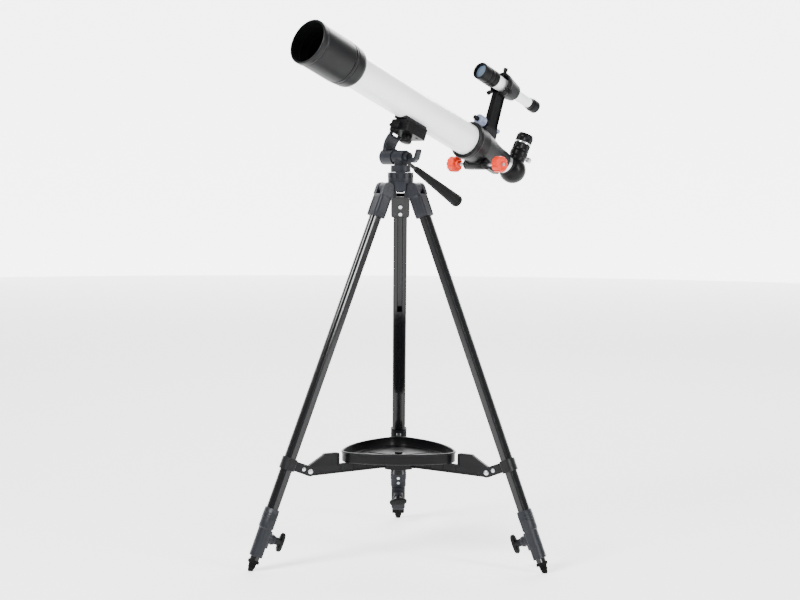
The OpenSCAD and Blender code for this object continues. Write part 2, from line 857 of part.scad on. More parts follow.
module diagonal_mirror() {
    color(STEEL) in_diagonal() translate([diag_x, 0, 0])
        rotate([0, 45, 0]) translate([0, 0, -3]) cylinder(h = 2.9, r = 14);
}

module eyepiece() {
    color(BLACK) in_diagonal() translate([diag_x, 0, 0]) difference() {
        union() {
            translate([0, 0, 16]) cylinder(h = 20, r = eye_barrel_r);
            rotate_extrude() polygon([
                [0, eye_bot], [eye_r - 1, eye_bot], [eye_r, eye_bot + 1], [eye_r, eye_bot + 12],
                [eye_r - 0.8, eye_bot + 12.8], [eye_r - 0.8, eye_bot + 15],
                [eye_r, eye_bot + 15.8], [eye_r, eye_top - 6], [eye_r - 1.6, eye_top - 1.5],
                [eye_r - 3, eye_top], [0, eye_top]
            ]);
        }
        translate([0, 0, 15]) cylinder(h = eye_top - 24, r = 10);
        translate([0, 0, eye_top - 4]) cylinder(h = 5, r = 9.5);
    }
}

module eyepiece_screw() {
    color(STEEL) in_diagonal() translate([diag_x, 0, holder_top - 5]) {
        bar_x(-holder_r - 9, -eye_barrel_r - 0.3, 2);
        translate([-holder_r - 14, 0, 0]) rotate([0, 90, 0]) slotted_disc(5, 7, 12, 0.8);
    }
}

// ---- Finder ----

module finder_bracket() {
    color(BLACK) in_finder() difference() {
        union() {
            turned_x([
                [ring_x, 0], [ring_x, cone_front_r - 1], [ring_x - 1.5, cone_front_r],
                [ring_x - 9, cone_front_r - 0.4], [ring_x - cone_len, cone_rear_r], [ring_x - cone_len, 0]
            ]);
            upright(13) polygon([
                [ring_x + 5, 5 - cone_front_r], [ring_x - 15, 5 - cone_front_r],
                [ring_x - 17, foot_z + 11], [ring_x - 18, foot_z],
                [ring_x + 10, foot_z], [ring_x + 10, foot_z + 8], [ring_x + 5, foot_z + 13]
            ]);
            translate([ring_x + 9, 0, foot_z + 5.3]) bar_x(0, 5, 5);
        }
        bar_x(ring_x - 9, ring_x + 1, cone_front_r - 3.4);
        bar_x(ring_x - cone_len + 12, ring_x - 9 + EPS, finder_r + 0.6, cone_front_r - 3.4);
        bar_x(ring_x - cone_len - 1, ring_x, finder_r + SEAT);
        for (a = [0, 120, 240])
            translate([ring_x - 5, 0, 0]) rotate([a, 0, 0])
                cylinder(h = 60, r = 1.7 + SEAT);
    }
}

module finder_tube() {
    color(WHITE) in_finder() difference() {
        turned_x([
            [step_x, 0], [step_x, finder_r], [-finder_front - 8, finder_r], [-finder_front - 8, 0]
        ]);
        bar_x(step_x + 2, -finder_front, finder_r - 1.1);
        bar_x(step_x - 1, step_x + 3, thin_r - 1);
    }
    color(WHITE) in_finder() difference() {
        bar_x(-finder_back + 8, step_x + EPS, thin_r);
        bar_x(-finder_back + 7, step_x + 1, thin_r - 1);
    }
}

module finder_cell() {
    color(BLACK) in_finder() difference() {
        turned_x([
            [-finder_front - cell_len, 0], [-finder_front - cell_len, finder_r + 1.6],
            [-finder_front - cell_len + 2, finder_r + 2.6], [-finder_front - 29, finder_r + 2.6],
            [-finder_front - 28, finder_r + 1.7], [-finder_front - 26, finder_r + 1.7],
            [-finder_front - 25, finder_r + 2.6], [-finder_front - 19, finder_r + 2.6],
            [-finder_front - 18, finder_r + 1.7], [-finder_front - 16, finder_r + 1.7],
            [-finder_front - 15, finder_r + 2.75], [-finder_front, finder_r + 2.75],
            [-finder_front, 0]
        ]);
        bar_x(-finder_front - cell_len - 1, -finder_front - 8 + SEAT, finder_r + SEAT);
        bar_x(-finder_front - 10, -finder_front + 1, finder_r - 0.6);
    }
}

module finder_eyepiece() {
    color(BLACK) in_finder() difference() {
        turned_x([
            [-finder_back, 0], [-finder_back, thin_r + 1.4], [-finder_back + 2, thin_r + 2.4],
            [-finder_back + 14, thin_r + 2.4], [-finder_back + 15.5, thin_r + 1],
            [-finder_back + 22, thin_r + 1], [-finder_back + 22, 0]
        ]);
        bar_x(-finder_back + 8 - SEAT, -finder_back + 23, thin_r + SEAT);
        bar_x(-finder_back - 1, -finder_back + 9, thin_r - 3);
    }
}

module finder_screws() {
    color(STEEL) in_finder() {
        for (a = [0, 120, 240])
            translate([ring_x - 5, 0, 0]) rotate([a, 0, 0]) {
                translate([0, 0, finder_r + 0.1]) cylinder(h = cone_front_r - finder_r + 5, r = 1.7);
                translate([0, 0, cone_front_r + 3]) slotted_disc(4, 6, 12, 0.7);
            }
    }
    color(STEEL) in_finder() translate([0, 0, foot_z + 5.3]) {
        translate([ring_x + 14.1, 0, 0]) rotate([0, 90, 0]) slotted_disc(9.4, 15, 16, 1);
        bar_x(ring_x + 29, ring_x + 38, 4);
        bar_x(ring_x - 29, ring_x - 18.1, 4);
    }
}

leg_bracket(1);  // leg_bracket_1
leg_bracket(2);  // leg_bracket_2
leg_bracket(3);  // leg_bracket_3
leg_upper(1);  // leg_upper_1
leg_upper(2);  // leg_upper_2
leg_upper(3);  // leg_upper_3
leg_clamp(1);  // leg_clamp_1
leg_clamp(2);  // leg_clamp_2
leg_clamp(3);  // leg_clamp_3
leg_rivets(1);  // leg_rivets_1
leg_rivets(2);  // leg_rivets_2
leg_rivets(3);  // leg_rivets_3
leg_lock(1);  // leg_lock_1
leg_lock(2);  // leg_lock_2
leg_lock(3);  // leg_lock_3
leg_lower(1);  // leg_lower_1
leg_lower(2);  // leg_lower_2
leg_lower(3);  // leg_lower_3
foot(1);  // foot_1
foot(2);  // foot_2
foot(3);  // foot_3
wing_knob(1);  // wing_knob_1
wing_knob(2);  // wing_knob_2
wing_knob(3);  // wing_knob_3
arm(1);  // arm_1
arm(2);  // arm_2
arm(3);  // arm_3
crown();
hinge_pins();
pan_base();
pan_lock_screw();
pan_turret();
tilt_lever();
tilt_frame();
handle_rod();
handle_grip();
platform();
plate();
plate_lever();
hub();
tray();
tray_knob();
tube_saddle();
main_tube();
dew_shield();
lens_cell();
objective_lens();
focuser_body();
drawtube();
pinion_shaft();
focus_knobs();
diagonal();
diagonal_mirror();
eyepiece();
eyepiece_screw();
finder_bracket();
finder_tube();
finder_cell();
finder_eyepiece();
finder_screws();
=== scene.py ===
import json
import math

import bmesh
import bpy
from mathutils import Matrix, Vector


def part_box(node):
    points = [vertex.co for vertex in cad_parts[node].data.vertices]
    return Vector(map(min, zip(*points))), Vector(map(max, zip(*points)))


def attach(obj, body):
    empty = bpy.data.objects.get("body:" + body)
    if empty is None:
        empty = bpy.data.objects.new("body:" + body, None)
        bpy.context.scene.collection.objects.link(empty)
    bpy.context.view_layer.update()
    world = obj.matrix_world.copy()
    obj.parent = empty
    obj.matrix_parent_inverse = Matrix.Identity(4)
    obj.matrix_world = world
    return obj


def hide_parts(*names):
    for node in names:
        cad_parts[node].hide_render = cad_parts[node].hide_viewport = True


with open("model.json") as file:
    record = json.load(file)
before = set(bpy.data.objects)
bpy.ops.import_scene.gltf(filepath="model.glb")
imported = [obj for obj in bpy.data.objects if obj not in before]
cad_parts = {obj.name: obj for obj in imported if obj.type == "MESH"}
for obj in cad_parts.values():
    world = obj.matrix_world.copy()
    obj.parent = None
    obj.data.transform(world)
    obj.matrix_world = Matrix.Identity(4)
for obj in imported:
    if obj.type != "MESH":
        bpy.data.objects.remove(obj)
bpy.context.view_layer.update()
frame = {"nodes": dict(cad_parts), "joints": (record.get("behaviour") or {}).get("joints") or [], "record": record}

JOINTS = {j["name"]: j for j in frame["joints"]}
MOUNTS = {m["name"]: m for m in frame["record"]["mounts"]}
MM = 0.001
IDENTITY = Matrix.Identity(4)


# ---- Frames ----

def axes_frame(origin, x_axis, y_axis):
    x = Vector(x_axis).normalized()
    y = Vector(y_axis).normalized()
    made = Matrix((x, y, x.cross(y))).transposed().to_4x4()
    made.translation = Vector(origin)
    return made


def leg_frame(i):
    y = Vector(JOINTS[f"fold_{i}"]["axis"])
    up = -Vector(JOINTS[f"extend_{i}"]["axis"])
    return axes_frame(JOINTS[f"fold_{i}"]["pos_m"], y.cross(up), y)


def spoke_frame(i):
    y = Vector(JOINTS[f"fold_{i}"]["axis"])
    return axes_frame((0, 0, 0), y.cross(Vector((0, 0, 1))), y)


FORWARD = Vector(MOUNTS["shield_mouth"]["axis"])
SIDE = -Vector(JOINTS["tilt"]["axis"])
TILT = axes_frame(JOINTS["tilt"]["pos_m"], FORWARD, SIDE)
MOUTH = TILT.inverted() @ Vector(MOUNTS["shield_mouth"]["pos_m"])
TUBE = TILT @ Matrix.Translation((0, 0, MOUTH.z))
GRIP = axes_frame(JOINTS["grip_turn"]["pos_m"], JOINTS["grip_turn"]["axis"], SIDE)


def local_point(place, joint):
    return (place.inverted() @ Vector(JOINTS[joint]["pos_m"])) / MM


def move(x, y, z):
    return Matrix.Translation((x, y, z))


def turn(degrees, axis):
    return Matrix.Rotation(math.radians(degrees), 4, axis)


# ---- Materials ----

def link(tree, a, out, b, into):
    tree.links.new(a.outputs[out], b.inputs[into])


def surface(name, color, rough, metal=0.0, coat=0.0, shine=0.5, grain=900.0, grain_depth=0.05,
            spread=0.12, stretch=(1, 1, 1), tone=0.12, wear=0.0, wear_color=None):
    """A procedural material with a fine grain, cloudy gloss and a slight change of tone."""
    mat = bpy.data.materials.new(name)
    mat.use_nodes = True
    tree = mat.node_tree
    shader = tree.nodes["Principled BSDF"]
    shader.inputs["Metallic"].default_value = metal
    shader.inputs["Coat Weight"].default_value = coat
    shader.inputs["Specular IOR Level"].default_value = shine
    shader.inputs["Coat Roughness"].default_value = 0.12
    coords = tree.nodes.new("ShaderNodeTexCoord")
    mapping = tree.nodes.new("ShaderNodeMapping")
    mapping.inputs["Scale"].default_value = stretch
    link(tree, coords, "Object", mapping, "Vector")
    fine = tree.nodes.new("ShaderNodeTexNoise")
    fine.inputs["Scale"].default_value = grain
    fine.inputs["Detail"].default_value = 4
    link(tree, mapping, "Vector", fine, "Vector")
    cloud = tree.nodes.new("ShaderNodeTexNoise")
    cloud.inputs["Scale"].default_value = 45
    cloud.inputs["Detail"].default_value = 5
    link(tree, mapping, "Vector", cloud, "Vector")
    ramp = tree.nodes.new("ShaderNodeValToRGB")
    ramp.color_ramp.elements[0].position = 0.3
    ramp.color_ramp.elements[1].position = 0.7
    ramp.color_ramp.elements[0].color = [c * (1 - tone) for c in color] + [1]
    ramp.color_ramp.elements[1].color = [min(1, c * (1 + tone)) for c in color] + [1]
    link(tree, cloud, "Fac", ramp, "Fac")
    gloss = tree.nodes.new("ShaderNodeMapRange")
    gloss.inputs["To Min"].default_value = max(0.03, rough - spread / 2)
    gloss.inputs["To Max"].default_value = min(1, rough + spread / 2)
    link(tree, cloud, "Fac", gloss, "Value")
    link(tree, gloss, "Result", shader, "Roughness")
    bump = tree.nodes.new("ShaderNodeBump")
    bump.inputs["Strength"].default_value = 0.35
    bump.inputs["Distance"].default_value = grain_depth * MM
    link(tree, fine, "Fac", bump, "Height")
    link(tree, bump, "Normal", shader, "Normal")
    if wear:
        geometry = tree.nodes.new("ShaderNodeNewGeometry")
        edge = tree.nodes.new("ShaderNodeMapRange")
        edge.inputs["From Min"].default_value = 0.52
        edge.inputs["From Max"].default_value = 0.62
        edge.inputs["To Max"].default_value = wear
        link(tree, geometry, "Pointiness", edge, "Value")
        mix = tree.nodes.new("ShaderNodeMixRGB")
        mix.inputs["Color2"].default_value = [*(wear_color or color), 1]
        link(tree, edge, "Result", mix, "Fac")
        link(tree, ramp, "Color", mix, "Color1")
        link(tree, mix, "Color", shader, "Base Color")
    else:
        link(tree, ramp, "Color", shader, "Base Color")
    return mat


MATERIALS = {
    "leg_black": surface("leg_black", (0.0018, 0.0018, 0.0022), 0.12, shine=0.32, grain=240, grain_depth=0.02,
                         stretch=(1, 1, 0.04), spread=0.05, wear=0.2, wear_color=(0.012, 0.012, 0.013)),
    "cast_grey": surface("cast_grey", (0.0075, 0.0085, 0.0115), 0.4, shine=0.2, grain=1500, grain_depth=0.06,
                         wear=0.3, wear_color=(0.022, 0.024, 0.03)),
    "black_plastic": surface("black_plastic", (0.0022, 0.0022, 0.0026), 0.34, shine=0.13, grain=1300,
                             grain_depth=0.05, wear=0.3, wear_color=(0.014, 0.014, 0.015)),
    "shield_black": surface("shield_black", (0.003, 0.0032, 0.0037), 0.34, shine=0.2, grain=1700,
                            grain_depth=0.05, wear=0.3, wear_color=(0.02, 0.02, 0.022)),
    "baffle": surface("baffle", (0.0012, 0.0012, 0.0014), 0.85, shine=0.08, grain=1500, grain_depth=0.12),
    "white_tube": surface("white_tube", (0.9, 0.905, 0.92), 0.24, coat=0.6, grain=700, grain_depth=0.012,
                          spread=0.06, tone=0.012),
    "steel": surface("steel", (0.55, 0.56, 0.58), 0.3, metal=1, grain=1200, grain_depth=0.04,
                     stretch=(0.2, 1, 1), tone=0.08),
    "chrome": surface("chrome", (0.72, 0.73, 0.75), 0.12, metal=1, grain=900, grain_depth=0.01, tone=0.04),
    "orange_knob": surface("orange_knob", (0.66, 0.028, 0.006), 0.35, shine=0.3, grain=900, grain_depth=0.03,
                           tone=0.08, wear=0.25, wear_color=(0.8, 0.08, 0.02)),
    "blue_nut": surface("blue_nut", (0.17, 0.2, 0.3), 0.33, metal=0.35, grain=1100, grain_depth=0.05,
                        wear=0.5, wear_color=(0.5, 0.53, 0.65)),
    "rubber": surface("rubber", (0.0025, 0.0025, 0.0025), 0.7, shine=0.08, grain=1100, grain_depth=0.12),
    "grip": surface("grip", (0.003, 0.003, 0.0032), 0.6, shine=0.1, grain=1400, grain_depth=0.25),
    "mirror": surface("mirror", (0.9, 0.9, 0.92), 0.06, metal=1, grain=500, grain_depth=0.004, tone=0.02),
    "glass": surface("coated_glass", (0.06, 0.09, 0.13), 0.06, coat=1.0, shine=0.8, grain=300,
                     grain_depth=0.003, spread=0.03, tone=0.25),
}


# ---- Mesh helpers: all sizes are in millimetres in the piece's own frame ----

STAND_UP = turn(90, "X")
X_UP = turn(-90, "Y")


def arc(x, y, r, degrees):
    """Points on a circle at the given angles."""
    return [(x + r * math.cos(math.radians(a)), y + r * math.sin(math.radians(a))) for a in degrees]


def level(outline, z):
    return [(x, y, z) for x, y in outline]


def ribs(count, depth, spans=None):
    """A flute function for lathe: ribs round the piece, everywhere or only within spans of X."""
    def scale(x, a):
        on = spans is None or any(lo < x < hi for lo, hi in spans)
        return 1 - (depth * (0.5 + 0.5 * math.cos(count * a)) if on else 0)
    return scale


def weld(bm):
    bmesh.ops.remove_doubles(bm, verts=bm.verts, dist=0.001)


def soft(points, radius, steps=4, closed=False):
    """The outline with its corners rounded."""
    made = []
    count = len(points)
    for k, point in enumerate(points):
        here = Vector(point)
        if not closed and k in (0, count - 1):
            made.append(tuple(here))
            continue
        back = Vector(points[k - 1]) - here
        ahead = Vector(points[(k + 1) % count]) - here
        reach = min(radius, back.length * 0.45, ahead.length * 0.45)
        if reach < 0.02 or back.angle(ahead, 0) > math.radians(172):
            made.append(tuple(here))
            continue
        start = here + back.normalized() * reach
        end = here + ahead.normalized() * reach
        for n in range(steps + 1):
            t = n / steps
            made.append(tuple(start * (1 - t) ** 2 + here * 2 * t * (1 - t) + end * t * t))
    return made


def lathe(bm, profile, place=IDENTITY, seg=96, mat=0, flute=None, loop=False):
    """Revolves [x, radius] about X. flute(x, angle) scales the radius. loop closes a hollow profile."""
    rings = []
    for x, r in profile:
        if r < 1e-4:
            rings.append([bm.verts.new(place @ Vector((x, 0, 0)))])
            continue
        ring = []
        for k in range(seg):
            a = 2 * math.pi * k / seg
            rr = r * (flute(x, a) if flute else 1)
            ring.append(bm.verts.new(place @ Vector((x, rr * math.cos(a), rr * math.sin(a)))))
        rings.append(ring)
    pairs = list(zip(rings, rings[1:]))
    if loop:
        pairs.append((rings[-1], rings[0]))
    for a, b in pairs:
        for k in range(seg):
            n = (k + 1) % seg
            if len(a) == 1 and len(b) == 1:
                continue
            if len(a) == 1:
                face = bm.faces.new((a[0], b[n], b[k]))
            elif len(b) == 1:
                face = bm.faces.new((a[k], a[n], b[0]))
            else:
                face = bm.faces.new((a[k], a[n], b[n], b[k]))
            face.material_index = mat


def loft(bm, rings, place=IDENTITY, mat=0, loop=False, caps=True):
    """Joins rings of the same number of 3-D points."""
    made = [[bm.verts.new(place @ Vector(p)) for p in ring] for ring in rings]
    pairs = list(zip(made, made[1:])) + ([(made[-1], made[0])] if loop else [])
    for a, b in pairs:
        for k in range(len(a)):
            n = (k + 1) % len(a)
            bm.faces.new((a[k], a[n], b[n], b[k])).material_index = mat
    if caps and not loop:
        bm.faces.new(list(reversed(made[0]))).material_index = mat
        bm.faces.new(made[-1]).material_index = mat


def prism(bm, outline, lo, hi, place=IDENTITY, mat=0):
    loft(bm, [level(outline, z) for z in (lo, hi)], place, mat)


def sleeve(bm, outer, inner, lo, hi, place=IDENTITY, mat=0):
    rings = [level(line, z) for line, z in ((outer, lo), (outer, hi), (inner, hi), (inner, lo))]
    loft(bm, rings, place, mat, loop=True)


def block(bm, lo, hi, place=IDENTITY, mat=0):
    outline = [(lo[0], lo[1]), (hi[0], lo[1]), (hi[0], hi[1]), (lo[0], hi[1])]
    prism(bm, outline, lo[2], hi[2], place, mat)


def disc(bm, x1, x2, r, place=IDENTITY, seg=48, mat=0, edge=0.6, flute=None):
    lathe(bm, soft([(x1, 0), (x1, r), (x2, r), (x2, 0)], edge, 3), place, seg, mat, flute)


def inset(outline, depth):
    """A closed counter-clockwise outline moved inwards."""
    made = []
    for k, point in enumerate(outline):
        p = Vector(point)
        a = (p - Vector(outline[k - 1])).normalized()
        b = (Vector(outline[(k + 1) % len(outline)]) - p).normalized()
        na, nb = Vector((-a.y, a.x)), Vector((-b.y, b.x))
        both = na + nb
        if both.length < 1e-3:
            both = na
        both.normalize()
        made.append(tuple(p + both * depth / max(0.35, both.dot(na))))
    return made


def piece(name, bm, place, body, materials, replaces=(), bevel=0.0, sharp=32):
    bmesh.ops.recalc_face_normals(bm, faces=bm.faces)
    bmesh.ops.transform(bm, matrix=Matrix.Scale(MM, 4), verts=bm.verts)
    for face in bm.faces:
        face.smooth = True
    for edge in bm.edges:
        edge.smooth = len(edge.link_faces) != 2 or edge.calc_face_angle(0) < math.radians(sharp)
    mesh = bpy.data.meshes.new(name)
    bm.to_mesh(mesh)
    bm.free()
    obj = bpy.data.objects.new(name, mesh)
    bpy.context.scene.collection.objects.link(obj)
    obj.matrix_world = place
    names = [materials] if isinstance(materials, str) else materials
    for m in names:
        mesh.materials.append(MATERIALS[m])
    if bevel:
        add_bevel(obj, bevel)
    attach(obj, body)
    if replaces:
        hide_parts(*replaces)
    return obj


def add_bevel(obj, width, segments=3):
    mod = obj.modifiers.new("edge", "BEVEL")
    mod.width = width * MM
    mod.segments = segments
    mod.limit_method = "ANGLE"
    mod.angle_limit = math.radians(32)
    mod.harden_normals = True


# ---- Legs ----

LEG_HALF_WIDTH = 11.5
LEG_HALF_DEPTH = 7.5
LEG_WALL = 1.6
LEG_ARC = 16.56
LEG_ARC_X = LEG_HALF_DEPTH - LEG_ARC
FIT = 0.05
COVER_TOP = -13
COVER_END = -50
COVER_CENTRE = 0.5
LOCK_LENGTH = 80
LOCK_STEP = 32
LOCK_OVERLAP = 12
KNOB_TO_LOCK_END = 33
FIRST_WING_TURN = 82
FOOT_LENGTH = 24.4
FLOOR_GAP = 0.00002
ARM_INNER = 24
ARM_NOTCH = 112


def leg_profile(depth, slot=False, grooves=False):
    """The leg's outline, moved inwards: convex outer face, flat sides and inner face."""
    half = LEG_HALF_WIDTH - depth
    r = LEG_ARC - depth
    end = math.degrees(math.asin(half / r))
    line = []
    for n in range(-12, 13):
        a = math.radians(end * n / 12)
        dip = 0.5 if grooves and abs(n) in (4, 8) else 0
        line.append((LEG_ARC_X + (r - dip) * math.cos(a), (r - dip) * math.sin(a)))
    corner = 2.6 - depth * 0.4
    inner = -LEG_HALF_DEPTH + depth
    line += arc(inner + corner, half - corner, corner, range(90, 181, 18))
    if slot:
        return line + [(inner, 4.5)]
    return line + arc(inner + corner, -half + corner, corner, range(180, 271, 18))


def channel_profile():
    """C-shaped section of the upper leg, open along its inner face."""
    def mirrored(depth, grooves):
        upper = leg_profile(depth, slot=True, grooves=grooves)[12:]
        return [(x, -y) for x, y in reversed(upper)][:-1] + upper
    return mirrored(0, True) + list(reversed(mirrored(LEG_WALL, False)))


def shell_around(hole, outer):
    """For each point of the hole, the outer outline's point in the same direction from the centre."""
    shell = []
    for x, y in hole:
        ray = Vector((x + COVER_CENTRE, y))
        found = (x, y)
        for k, p in enumerate(outer):
            q = outer[(k + 1) % len(outer)]
            start = Vector((p[0] + COVER_CENTRE, p[1]))
            side = Vector((q[0] + COVER_CENTRE, q[1])) - start
            cross = ray.x * side.y - ray.y * side.x
            if abs(cross) < 1e-9:
                continue
            t = (start.x * side.y - start.y * side.x) / cross
            u = (start.x * ray.y - start.y * ray.x) / cross
            if t > 0 and -1e-6 <= u <= 1 + 1e-6:
                found = (ray.x * t - COVER_CENTRE, ray.y * t)
        shell.append(found)
    return shell


def upper_leg(i, place, lock_top):
    bm = bmesh.new()
    prism(bm, channel_profile(), -(lock_top + LOCK_OVERLAP), COVER_TOP)
    piece(f"upper_leg_{i}", bm, place, f"leg_{i}", "leg_black", [f"leg_upper_{i}"], sharp=25)


def leg_cover(i, place):
    """Cast cover at the top of a leg, with two cheeks round the hinge and a black inner face."""
    bm = bmesh.new()
    hole = leg_profile(-FIT)
    outer = soft([(9.1, -15.5), (9.1, 15.5), (-12.5, 15.5), (-12.5, -15.5)], 5.5, 5, True)
    shell = shell_around(hole, outer)
    sections = [(COVER_END, 0.93, shell), (-48.6, 0.985, shell), (-40, 1, shell), (-20, 1, shell),
                (-14.2, 0.99, shell), (COVER_TOP, 0.94, shell), (COVER_TOP, 1, hole), (COVER_END, 1, hole)]
    loft(bm, [[(x * k, y * k, z) for x, y in line] for z, k, line in sections], loop=True)
    cheek = arc(0, 0, 9, range(0, 181, 10)) + [(-11.4, -8), (-12, -14), (8.8, -14), (9, -6)]
    for lo, hi in ((-15.2, -6.5), (6.5, 15.2)):
        prism(bm, cheek, lo, hi, STAND_UP)
    for y in (-9, 9):
        block(bm, (8.4, y - 0.9, -45), (9.7, y + 0.9, -18))
    bmesh.ops.recalc_face_normals(bm, faces=bm.faces)
    for face in bm.faces:
        middle = face.calc_center_median()
        if face.normal.x < -0.6 and abs(middle.y) < 12 and middle.z < -12:
            face.material_index = 1
    looks = ["cast_grey", "leg_black"]
    piece(f"leg_cover_{i}", bm, place, f"leg_{i}", looks, [f"leg_bracket_{i}"], bevel=0.9)


def lock_housing(i, place, lock_top, lock_bot, knob_z):
    """Wide collar with three ridges, a slim lower part and a boss for the wing knob."""
    bm = bmesh.new()
    wide, slim, bore, low_bore = (leg_profile(d) for d in (-2.2, -1.0, -FIT, LEG_WALL))
    step = lock_top + LOCK_STEP
    low_start = -(lock_top + LOCK_OVERLAP)
    rings = [level(leg_profile(-1.5), -lock_top), level(wide, -lock_top - 1.2), level(wide, -step + 1.5),
             level(leg_profile(-2.0), -step), level(slim, -step - 1.2), level(slim, -lock_bot + 1),
             level(leg_profile(-0.3), -lock_bot), level(low_bore, -lock_bot), level(low_bore, low_start),
             level(bore, low_start), level(bore, -lock_top)]
    loft(bm, rings, loop=True)
    for drop in (8, 12, 16):
        z = -lock_top - drop
        ridge = [(-2.1, z - 1), (-2.8, z - 0.5), (-2.8, z + 0.5), (-2.1, z + 1), (-1.2, z + 1), (-1.2, z - 1)]
        loft(bm, [level(leg_profile(d), height) for d, height in ridge], loop=True)
    axis = move(0, 0, knob_z)
    disc(bm, -23, -6.5, 8, axis, edge=1.2)
    disc(bm, -20, -18, 8.8, axis, edge=0.8)
    block(bm, (-13, -7.2, knob_z - 16), (-6.4, 7.2, knob_z + 12))
    piece(f"lock_housing_{i}", bm, place, f"leg_{i}", "cast_grey", [f"leg_lock_{i}"], bevel=0.5)


def wing_grip(i, place, knob_z):
    bm = bmesh.new()
    axis = move(0, 0, knob_z)
    disc(bm, -33.5, -23.6, 6.3, axis, edge=0.8)
    disc(bm, -23.5, -7.2, 2.9, axis, edge=0.3)
    wing = []
    for a in range(0, 360, 6):
        t = math.radians(a)
        r = 7.6 + 8.2 * abs(math.cos(t)) ** 3.5
        wing.append((r * math.cos(t), r * math.sin(t) * 0.86))
    facing = move(-36, 0, knob_z) @ turn(90, "Y") @ turn(FIRST_WING_TURN if i == 1 else 0, "Z")
    sections = ((-3.4, 0.8), (-2.9, 0.94), (-1.5, 1), (1.8, 1), (2.9, 0.92), (3.4, 0.78))
    loft(bm, [[(x * k, y * k, z) for x, y in wing] for z, k in sections], facing)
    disc(bm, -40.0, -39.0, 4.6, axis, edge=0.4)
    piece(f"wing_grip_{i}", bm, place, f"leg_knob_{i}", "black_plastic", [f"wing_knob_{i}"])


def rubber_foot(i, place, lock_bot):
    """Tapered rubber tip, cut flat at the floor."""
    bm = bmesh.new()
    shank = ((3.4, 4), (3.4, -6.2), (0.5, -6.2), (0.3, -7.4), (0.7, -11))
    loft(bm, [level(leg_profile(d), z - lock_bot) for d, z in shank])
    end = -(lock_bot + FOOT_LENGTH)
    cone = soft([(end - 2.0, 0), (end - 1.6, 2.6), (end + 1.4, 4.4), (end + 6, 5.3), (end + 6.3, 6.1),
                 (end + 8.2, 6.2), (end + 8.5, 5.7), (end + 13.4, 6.6), (end + 13.4, 0)], 0.5, 3)
    lathe(bm, cone, move(-1, 0, 0) @ X_UP, 48)
    to_leg = place.inverted()
    bmesh.ops.bisect_plane(bm, geom=bm.verts[:] + bm.edges[:] + bm.faces[:],
                           plane_co=(to_leg @ Vector((0, 0, FLOOR_GAP))) / MM,
                           plane_no=to_leg.to_3x3() @ Vector((0, 0, -1)), clear_outer=True)
    bmesh.ops.holes_fill(bm, edges=[e for e in bm.edges if len(e.link_faces) == 1], sides=0)
    piece(f"rubber_foot_{i}", bm, place, f"lower_leg_{i}", "rubber", [f"foot_{i}"])


def spreader_arm(i):
    """A flat web with a thicker rim, which rises to a notch at the tray's edge."""
    bm = bmesh.new()
    place = spoke_frame(i)
    pivot = local_point(place, f"spread_{i}")
    hub_z = pivot.z - 1.4
    tray_z = pivot.z + 8.6
    top = pivot.z + 26.3
    arm = [(ARM_NOTCH, tray_z - 1.2), (46, tray_z - 1.2), (ARM_INNER, hub_z + 5)]
    arm += arc(ARM_INNER, hub_z, 5, range(105, 270, 15))
    arm += [(ARM_INNER, hub_z - 5), (pivot.x, pivot.z - 8.5)]
    arm += arc(pivot.x, pivot.z, 8.5, range(-75, 90, 15))
    arm += [(pivot.x + 1, pivot.z + 8.4), (ARM_NOTCH + 30, top - 3), (ARM_NOTCH + 27, top - 0.4),
            (ARM_NOTCH + 24, top), (ARM_NOTCH + 3.5, top), (ARM_NOTCH + 1, top - 1), (ARM_NOTCH, top - 3.5)]
    edge, core, web = inset(arm, 0.5), inset(arm, 2.6), inset(arm, 2.9)
    prism(bm, edge, -2.0, 2.0, STAND_UP)
    sections = ((edge, -3.5), (arm, -3.0), (arm, 3.0), (edge, 3.5),
                (core, 3.5), (web, 2.0), (web, -2.0), (core, -3.5))
    loft(bm, [level(line, z) for line, z in sections], STAND_UP, loop=True)
    prism(bm, arc(pivot.x, pivot.z, 7.4, [k * 11.25 for k in range(32)]), -3.5, 3.5, STAND_UP)
    for x in (60, 84, 108):
        block(bm, (x - 0.8, -3.0, hub_z - 4.6), (x + 0.8, 3.0, tray_z - 2.4))
    piece(f"spreader_arm_{i}", bm, place, f"spreader_{i}", "black_plastic", [f"arm_{i}"])


for i in (1, 2, 3):
    leg_place = leg_frame(i)
    knob_z = local_point(leg_place, f"leg_lock_turn_{i}").z
    lock_bot = KNOB_TO_LOCK_END - knob_z
    lock_top = lock_bot - LOCK_LENGTH
    upper_leg(i, leg_place, lock_top)
    leg_cover(i, leg_place)
    lock_housing(i, leg_place, lock_top, lock_bot, knob_z)
    wing_grip(i, leg_place, knob_z)
    rubber_foot(i, leg_place, lock_bot)
    spreader_arm(i)


# ---- Tray ----

TRAY_ROUND = 28
TRAY_CORNER = 76
TRAY_SIDE = 80


def tray_ring(depth, z):
    """Rounded triangle with bulging sides, its corners towards the legs."""
    corner_r = TRAY_ROUND - depth
    reach = TRAY_SIDE - TRAY_ROUND
    behind = (TRAY_CORNER ** 2 - reach ** 2) / (2 * reach - TRAY_CORNER)
    side_r = TRAY_SIDE - depth + behind
    half = math.degrees(math.atan2(TRAY_CORNER * math.sin(math.radians(60)), TRAY_CORNER / 2 + behind))
    line = []
    for corner in (90, 210, 330):
        a = math.radians(corner)
        x, y = TRAY_CORNER * math.cos(a), TRAY_CORNER * math.sin(a)
        line += arc(x, y, corner_r, [corner + k * (60 - half) / 8 for k in range(-8, 9)])
        a = math.radians(corner + 60)
        x, y = -behind * math.cos(a), -behind * math.sin(a)
        line += arc(x, y, side_r, [corner + 60 + k * half / 10 for k in range(-9, 10)])
    return level(line, z)


